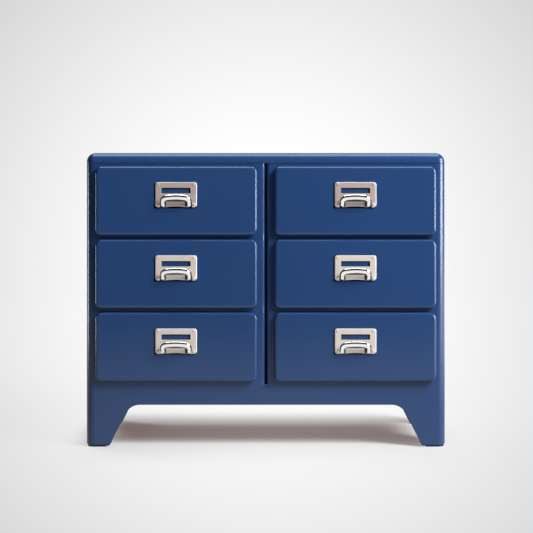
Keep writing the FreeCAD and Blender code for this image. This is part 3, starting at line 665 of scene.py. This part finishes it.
def paper_fall(tree, studio, across, away, up):
    """The level of the paper's glow, a painted fall of light: bright in the middle of the picture and
    falling towards its edges.
    """
    reach = tree.math("ADD", away, studio.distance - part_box("front_frame")[0].y)
    aside = tree.math("DIVIDE", across, reach)
    slope = tree.math("DIVIDE", tree.math("SUBTRACT", up, studio.height), reach)
    rise = tree.math("ADD", slope, MIDDLE_BELOW)
    spread = tree.math("ADD", tree.times(aside, aside), tree.times(rise, rise))
    fall = tree.math("DIVIDE", studio.paper_level, tree.math("ADD", tree.times(spread, LEVEL_FALL), 1.0))
    kept = tree.math("MAXIMUM", fall, LEAST_LEVEL)
    return tree.mix(tree.ramp(away, *NEAR_STEP), NEAR_LEVEL, kept)


def studio_paper(studio):
    """Paper that glows with a painted level of light, and takes the lamps' light and shade only round the
    chest.
    """
    tree = NodeTree("studio_paper")
    across, away, up = tree.split(tree.place)
    level = paper_fall(tree, studio, across, away, up)
    beside = tree.fade(tree.math("ABSOLUTE", across), *MAT_BESIDE)
    before = tree.ramp(away, *MAT_BEFORE)
    behind = tree.fade(away, *MAT_BEHIND)
    mat = tree.times(beside, tree.times(before, behind))
    grain = tree.between(tree.noise(scale=3.0), low=0.99, high=1.01)
    share = tree.times(grain, tree.between(mat, *MAT_SHARE))
    paper = [tree.times(share, channel) for channel in studio.paper_colour]
    lamplight = [tree.times(channel, studio.floor_light) for channel in paper]
    glow = [tree.math("MAXIMUM", tree.math("SUBTRACT", level, channel), 0.0) for channel in lamplight]
    # A painted pool of light on the paper, seen only in gloss.
    mirrored = tree.times(tree.ramp(away, *MIRRORED_AWAY), tree.ramp(across, *MIRRORED_ACROSS))
    tree.surface(
        Base_Color=tree.join(paper),
        Emission_Color=tree.join(glow),
        Emission_Strength=seen(tree, mirrored),
        Roughness=0.9,
        Specular_IOR_Level=0.1,
    )
    return tree.material


def cove(studio):
    """The floor and the backdrop, which aren't part of the chest."""
    floor = placed("studio_floor", swept_floor())
    floor.data.materials.append(studio_paper(studio))


def camera(studio):
    """A level camera with its picture shifted down, as an architect's camera."""
    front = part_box("front_frame")[0].y
    lens = SENSOR_WIDTH * studio.scale * studio.distance / IMAGE_WIDTH
    data = bpy.data.cameras.new("camera")
    data.sensor_width = SENSOR_WIDTH
    data.lens = lens
    data.shift_x = studio.aside / IMAGE_WIDTH
    data.shift_y = (studio.horizon - IMAGE_WIDTH / 2) / IMAGE_WIDTH
    data.clip_end = 100.0
    holder = placed("camera", data)
    holder.location = (0.0, front - studio.distance, studio.height)
    holder.rotation_euler = (math.pi / 2, 0.0, 0.0)
    bpy.context.scene.camera = holder


def surroundings(studio):
    """A dim room for the lamps, seen as pale where nothing stands before it."""
    world = bpy.data.worlds.new("studio_world")
    bpy.context.scene.world = world
    world.use_nodes = True
    tree = world.node_tree
    background = tree.nodes["Background"]
    background.inputs["Color"].default_value = opaque(WHITE)
    path = tree.nodes.new("ShaderNodeLightPath")
    level = tree.nodes.new("ShaderNodeMix")
    level.data_type = "FLOAT"
    tree.links.new(path.outputs["Is Camera Ray"], level.inputs[0])
    level.inputs[2].default_value = studio.world_level
    level.inputs[3].default_value = studio.pale_level
    tree.links.new(level.outputs[0], background.inputs["Strength"])


class CHEST_OT_studio(ChestOperator, bpy.types.Operator):
    """Set up the camera, the lamps, the world and the floor"""

    bl_idname = "chest.studio"
    bl_label = "Studio"

    def execute(self, context):
        studio = context.scene.chest_studio
        context.scene.view_settings.view_transform = "Standard"
        surroundings(studio)
        cove(studio)
        camera(studio)
        for lamp in GLOSS_LAMPS:
            softbox(lamp).visible_diffuse = False
        for lamp in FILL_LAMPS:
            softbox(lamp).visible_glossy = False
        return {"FINISHED"}


class CHEST_PT_panel(bpy.types.Panel):
    """The chest's steps in the sidebar"""

    bl_idname = "CHEST_PT_panel"
    bl_label = "Drawer Chest"
    bl_space_type = "VIEW_3D"
    bl_region_type = "UI"
    bl_category = "Drawer Chest"

    def draw(self, context):
        layout = self.layout
        for operator in OPERATORS:
            layout.operator(operator.bl_idname)
        for group in SETTINGS:
            settings = getattr(context.scene, group)
            column = layout.column()
            for key in settings.__annotations__:
                column.prop(settings, key)


GROUPS = (ChestPaint, ChestPlating, ChestStudio)
OPERATORS = (
    CHEST_OT_carcass, CHEST_OT_drawers, CHEST_OT_fittings, CHEST_OT_slides, CHEST_OT_feet, CHEST_OT_studio,
)
CLASSES = GROUPS + OPERATORS + (CHEST_PT_panel,)
SETTINGS = ("chest_paint", "chest_plating", "chest_studio")


def register():
    for cls in CLASSES:
        bpy.utils.register_class(cls)
    bpy.types.Scene.chest_paint = PointerProperty(type=ChestPaint)
    bpy.types.Scene.chest_plating = PointerProperty(type=ChestPlating)
    bpy.types.Scene.chest_studio = PointerProperty(type=ChestStudio)


def unregister():
    for name in SETTINGS:
        delattr(bpy.types.Scene, name)
    for cls in reversed(CLASSES):
        bpy.utils.unregister_class(cls)


def main():
    register()
    for operator in OPERATORS:
        group, name = operator.bl_idname.split(".")
        getattr(getattr(bpy.ops, group), name)()


if __name__ == "__main__":
    main()
